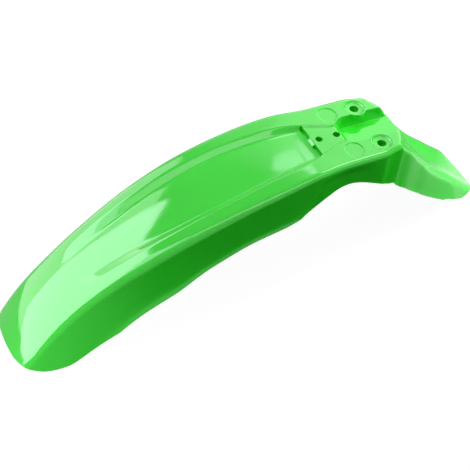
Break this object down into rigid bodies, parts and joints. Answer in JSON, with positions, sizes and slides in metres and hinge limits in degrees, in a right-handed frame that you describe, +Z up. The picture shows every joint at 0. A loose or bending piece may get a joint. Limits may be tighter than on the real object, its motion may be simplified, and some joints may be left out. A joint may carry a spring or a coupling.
{
  "type": "motorcycle front mudguard",
  "caption": "One-piece moulded front mudguard: long drooping blade with a dished deck, raised bolt plateau with a channel, short flared rear flap",
  "frame": {"origin": "midway between the two main bolt holes, level with the floors of their round seats, 1.8 mm below the face of the mounting plateau", "axes": "+X forward to the nose, +Y to the left side, +Z up, square to the plateau"},
  "size_m": [0.5287, 0.1208, 0.1698],
  "materials": {
    "shell": "high-gloss bright green moulded plastic"
  },
  "bodies": {
    "root": {"mudguard": "shell"}
  },
  "joints": []
}
